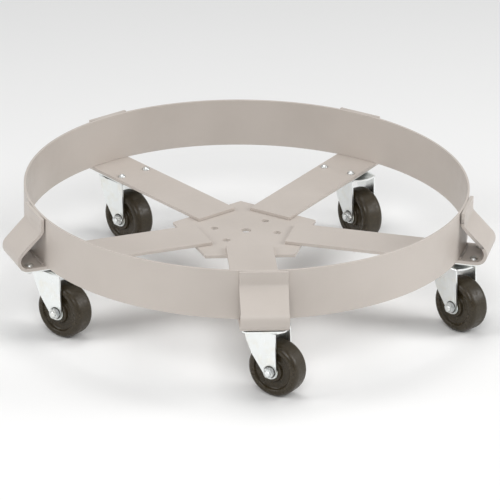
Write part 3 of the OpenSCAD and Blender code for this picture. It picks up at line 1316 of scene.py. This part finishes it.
    def folded(self, place: CasterPlace) -> bmesh.types.BMesh:
        """Outer face of the folded yoke, about the kingpin.

        Args:
            place: the caster's place.

        Returns:
            The open surface, facing outwards.
        """
        bm = bmesh.new()
        verts = [bm.verts.new(point) for point in self.outline(place)]
        for first, second in zip(verts, verts[1:] + verts[:1]):
            bm.edges.new((first, second))
        crown = Vector((0, 0, 0))
        groove = self.groove
        race = self.ring_of(bm, groove[0][0], crown, 72)
        axle = self.unfold(place.trail.length, place.axle.z)
        dimples = []
        for side in (1, -1):
            centre = Vector((axle.x, side * axle.y, 0))
            dimples.append((self.ring_of(bm, self.dimple_r + self.dimple_rim, centre, 48), centre))
        bmesh.ops.triangle_fill(bm, edges=bm.edges[:], use_beauty=True, use_dissolve=False)
        self.press(bm, race, crown, (*groove[1:], (self.pin_hole_r, 0)))
        middle = self.dimple_r + self.dimple_rim / 2
        steps = (
            (middle + 0.2 * MM, 0.12 * self.dimple_t), (middle - 0.2 * MM, 0.88 * self.dimple_t),
            (self.dimple_r, self.dimple_t), (self.bolt_hole_r, self.dimple_t),
        )
        for edges, centre in dimples:
            self.press(bm, edges, centre, steps)
        for i in range(self.fold_steps + 1):
            line = self.fold_start + self.fold_r * QUARTER_TURN * i / self.fold_steps
            for side in (1, -1):
                bmesh.ops.bisect_plane(
                    bm, geom=bm.verts[:] + bm.edges[:] + bm.faces[:], dist=1e-7,
                    plane_co=(0, side * line, 0), plane_no=(0, 1, 0))
        bmesh.ops.recalc_face_normals(bm, faces=bm.faces[:])
        if sum(face.normal.z * face.calc_area() for face in bm.faces) < 0:
            bmesh.ops.reverse_faces(bm, faces=bm.faces[:])
        # Painted shade in the crown's ball groove and in the dimples around the bolt.
        fill_layer(bm, Layer.PAINTED_SHADE, lambda point: self.shade_at(point, axle))
        for vert in bm.verts:
            vert.co = self.fold(vert.co)
        return bm

    def shade_at(self, point: Vector, axle: Vector) -> float:
        """How much painted shade the blank gets at a point: around the balls, and in the dimples around the bolt.

        Args:
            point: the point of the blank.
            axle: the middle of one dimple.

        Returns:
            A share from 0 to 1.
        """
        if point.xy.length < self.race_r + 2 * self.ball_r:
            return self.groove_shade
        in_dimple = (Vector((point.x, abs(point.y))) - axle.xy).length < self.dimple_r + 0.1 * MM
        return self.dimple_shade if in_dimple else 0.0


@dataclass
class Wheel(Assembly):
    """Rolling parts of a caster: the wheel, its bushing, and the sleeve, bolt and nut that hold it.

    Attributes:
        width: width of the tread.
        hub_l: length of the hub along the axle.
        shoulder: rounding of the tread's edges.
        rim_in_r: radius of the rim's inner edge.
        web_out_r: radius where the web meets the rim.
        web_in_r: radius where the web meets the hub.
        web_w: width of the web.
        hub_out_r: outside radius of the hub.
        bush_r: outside radius of the bushing.
        sleeve_r: outside radius of the sleeve.
        sleeve_bore_r: inside radius of the sleeve.
        fit: play of the bushing on the sleeve, in radius.
        leg_in: distance from the wheel's middle to the inside of the yoke's legs at the axle.
        leg_out: distance from the wheel's middle to the outside of the yoke's legs at the axle.
        bolt_r: radius of the bolt.
        hex_across: width of its head and nut across two flats.
        head_h: height of the head.
        nut_h: height of the nut.
        past_nut: how far the bolt stands out of the nut.
        thread_pitch: pitch of the thread.
    """

    width: float = 32 * MM
    hub_l: float = 33.6 * MM
    shoulder: float = 8.3 * MM
    rim_in_r: float = 28 * MM
    web_out_r: float = 26 * MM
    web_in_r: float = 17 * MM
    web_w: float = 24 * MM
    hub_out_r: float = 15 * MM
    bush_r: float = 9.5 * MM
    sleeve_r: float = 6 * MM
    sleeve_bore_r: float = 4.05 * MM
    fit: float = 0.05 * MM
    leg_in: float = 17.2 * MM
    leg_out: float = 19.7 * MM
    bolt_r: float = 3.97 * MM
    hex_across: float = 12.7 * MM
    head_h: float = 5 * MM
    nut_h: float = 6.7 * MM
    past_nut: float = 1.6 * MM
    thread_pitch: float = 1.27 * MM

    def build(self, places: list[CasterPlace]) -> None:
        """Builds the rolling parts of all the casters.

        Args:
            places: the casters' places.
        """
        for place in places:
            number = place.number
            swivel, roller = f"swivel_{number}", f"roller_{number}"
            shapes = (
                (self.tyre(place), f"moulded_wheel_{number}", roller, Slot.COMPOUND, f"wheel_{number}"),
                (self.bushing(), f"bronze_bushing_{number}", roller, Slot.BUSHING, f"wheel_bushing_{number}"),
                (self.sleeve(), f"axle_tube_{number}", swivel, Slot.STEEL, f"axle_sleeve_{number}"),
                (self.bolt(), f"hex_bolt_{number}", swivel, Slot.ZINC, f"axle_bolt_{number}"),
                (self.nut(), f"hex_nut_{number}", swivel, Slot.ZINC, f"axle_nut_{number}"),
            )
            nut_outwards = place.on_axle() @ Matrix.Rotation(math.pi, 4, "X")
            for bm, name, body, slot, node in shapes:
                bmesh.ops.transform(bm, matrix=nut_outwards, verts=bm.verts[:])
                self.finish_piece(bm, name, body, slot, node)

    def tyre(self, place: CasterPlace) -> bmesh.types.BMesh:
        """Moulded wheel: hub, dished web, rim and tread in one.

        Args:
            place: the caster's place, whose axle stands one wheel radius above the floor.

        Returns:
            The wheel about the Z axis.
        """
        outer_r = place.axle.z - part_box(f"wheel_{place.number}")[0].z
        half, hub, web = self.width / 2, self.hub_l / 2, self.web_w / 2
        one_side = [
            (self.bush_r, hub, 0.4 * MM), (self.hub_out_r, hub, 1.0 * MM),
            (self.hub_out_r + 0.9 * MM, web, 1.2 * MM), (self.web_in_r + 1.5 * MM, web - 0.3 * MM, 1.0 * MM),
            (self.web_out_r, web - 0.3 * MM, 1.4 * MM), (self.rim_in_r, half - 0.4 * MM, 0.9 * MM),
            (self.rim_in_r + 2.6 * MM, half, 1.0 * MM), (outer_r, half, self.shoulder),
        ]
        bm = turn_on_lathe(one_side + [(r, -y, rounding) for r, y, rounding in one_side[::-1]], steps=96)
        fill_layer(bm, Layer.RADIUS_SHARE, lambda point: point.xy.length / outer_r)
        return bm

    def tube(self, outer_r: float, inner_r: float, length: float) -> bmesh.types.BMesh:
        """Tube about the Z axis with chamfered ends.

        Args:
            outer_r: outside radius.
            inner_r: inside radius.
            length: length of the tube.

        Returns:
            The tube, centred on the origin.
        """
        half, chamfer = length / 2, 0.35 * MM
        return turn_on_lathe([
            (inner_r, -half, chamfer), (outer_r, -half, chamfer),
            (outer_r, half, chamfer), (inner_r, half, chamfer),
        ], steps=48)

    def bushing(self) -> bmesh.types.BMesh:
        """Bushing pressed into the wheel's hub."""
        return self.tube(self.bush_r, self.sleeve_r + self.fit, self.hub_l)

    def sleeve(self) -> bmesh.types.BMesh:
        """Sleeve that the bushing turns on, clamped between the yoke's legs."""
        return self.tube(self.sleeve_r, self.sleeve_bore_r, 2 * self.leg_in)

    def bolt(self) -> bmesh.types.BMesh:
        """Hexagon bolt from one leg to past the nut on the other."""
        head = hexagon_bar(self.hex_across, self.head_h, (True, False))
        end = self.leg_out + self.nut_h + self.past_nut
        start = -self.leg_out - 0.5 * MM
        depth, half_pitch = 0.55 * MM, self.thread_pitch / 2
        turns, tip = 7, 0.5 * MM
        thread = []
        for i in range(turns):
            crest = end - tip - i * self.thread_pitch
            thread += [(self.bolt_r, crest, 0), (self.bolt_r - depth, crest - half_pitch, 0)]
        plain_from = end - tip - turns * self.thread_pitch
        profile = [
            (0, end, 0), (self.bolt_r - depth, end, 0), *thread,
            (self.bolt_r, plain_from, 0), (self.bolt_r, start, 0), (0, start, 0),
        ]
        shank = turn_on_lathe(profile, steps=32)
        seat = Matrix.Translation((0, 0, -self.leg_out - self.head_h))
        return join_shapes([(head, seat), (shank, Matrix.Identity(4))])

    def nut(self) -> bmesh.types.BMesh:
        """Hexagon nut, chamfered on both faces."""
        bm = hexagon_bar(self.hex_across, self.nut_h, (True, True))
        drill(bm, self.bolt_r)
        bmesh.ops.translate(bm, vec=(0, 0, self.leg_out), verts=bm.verts[:])
        return bm


# ---- Studio ----


@dataclass
class Studio:
    """Pale floor, soft lights and the camera.

    Attributes:
        azimuth: direction from which the camera looks, from -Y towards +X.
        elevation: angle at which it looks down.
        distance: distance from the camera to the point it aims at.
        aim: that point, on the ring's axis.
        roll: how far the camera is turned about its own axis.
        lens: focal length on a sensor 36 mm wide, in millimetres.
        shift: how far the picture is moved on the sensor, in shares of its width.
        floor_colour: the floor's lighter tone.
        floor_size: length of its side.
    """

    azimuth: float = math.radians(-22.54)
    elevation: float = math.radians(23.56)
    distance: float = 5.328
    aim: Vector = field(default_factory=lambda: Vector((0, 0, -31.7 * MM)))
    roll: float = math.radians(0.97)
    lens: float = 275.3
    shift: tuple = (0.0086, -0.0042)
    floor_colour: tuple = (0.90, 0.897, 0.89)
    floor_size: float = 14.0

    def build(self) -> None:
        """Sets up the whole studio."""
        bpy.context.scene.view_settings.view_transform = "Standard"
        self.add_camera()
        self.add_floor()
        self.add_world()
        self.add_softbox("front", Vector((-1.0, -2.4, 2.0)), 1.4, 31)
        self.add_softbox("right", Vector((2.5, -1.3, 1.5)), 1.4, 42)
        self.add_softbox("left", Vector((-2.6, 0.1, 1.4)), 1.4, 26)
        self.add_softbox("top", Vector((0.1, 0.3, 2.8)), 1.6, 28)

    def add_camera(self) -> None:
        """Puts the camera in its place."""
        cos_e, sin_e = math.cos(self.elevation), math.sin(self.elevation)
        back = Vector((math.sin(self.azimuth) * cos_e, -math.cos(self.azimuth) * cos_e, sin_e))
        right = Vector((math.cos(self.azimuth), math.sin(self.azimuth), 0))
        up = back.cross(right)
        rolled_right = math.cos(self.roll) * right + math.sin(self.roll) * up
        rolled_up = back.cross(rolled_right)
        data = bpy.data.cameras.new("camera")
        data.sensor_width = 36
        data.lens = self.lens
        data.shift_x, data.shift_y = self.shift
        data.clip_end = 100
        camera = bpy.data.objects.new("camera", data)
        turn = Matrix((rolled_right, rolled_up, back)).transposed().to_4x4()
        camera.matrix_world = Matrix.Translation(self.aim + back * self.distance) @ turn
        bpy.context.scene.collection.objects.link(camera)
        bpy.context.scene.camera = camera

    def add_floor(self) -> None:
        """Lays a pale floor under the wheels."""
        bm = bmesh.new()
        level = min(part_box(f"wheel_{number}")[0].z for number in CASTER_NUMBERS)
        size = Matrix.Diagonal((self.floor_size, self.floor_size, 1, 1))
        bmesh.ops.create_grid(
            bm, x_segments=8, y_segments=8, size=0.5, matrix=Matrix.Translation((0, 0, level)) @ size)
        mesh = bpy.data.meshes.new("floor")
        bm.to_mesh(mesh)
        bm.free()
        floor = bpy.data.objects.new("floor", mesh)
        bpy.context.scene.collection.objects.link(floor)
        graph = Graph("pale_floor")
        darker = tuple(0.985 * part for part in self.floor_colour)
        tone = graph.blend(graph.noise(3, 3), solid(self.floor_colour), solid(darker))
        graph.feed(graph.shader.inputs["Base Color"], tone)
        graph.shader.inputs["Roughness"].default_value = 0.7
        graph.shader.inputs["Specular IOR Level"].default_value = 0.2
        mesh.materials.append(graph.material)

    def add_world(self) -> None:
        """Surrounds the scene with soft white light."""
        world = bpy.data.worlds.new("soft_white")
        bpy.context.scene.world = world
        world.use_nodes = True
        background = world.node_tree.nodes["Background"]
        background.inputs["Color"].default_value = (0.97, 0.985, 1.0, 1)
        background.inputs["Strength"].default_value = 0.32

    def add_softbox(self, name: str, place: Vector, size: float, power: float) -> None:
        """Adds a square soft light that faces the dolly.

        Args:
            name: the light's name.
            place: where it hangs.
            size: the length of its side.
            power: its power in watts.
        """
        data = bpy.data.lights.new(name, "AREA")
        data.size = size
        data.energy = power
        light = bpy.data.objects.new(name, data)
        turn = (self.aim - place).to_track_quat("-Z", "Y").to_matrix().to_4x4()
        light.matrix_world = Matrix.Translation(place) @ turn
        bpy.context.scene.collection.objects.link(light)


def main() -> None:
    """Builds the dolly and its studio."""
    logging.basicConfig(level=logging.INFO, format="%(name)s: %(message)s")
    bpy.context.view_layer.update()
    Studio().build()
    shop = PaintShop()
    places = [CasterPlace.read(number) for number in CASTER_NUMBERS]
    StarFrame(shop).build(places)
    MountingPlate(shop).build(places)
    Yoke(shop).build(places)
    Wheel(shop).build(places)
    shop.coat_kept_nodes()


if __name__ == "__main__":
    main()
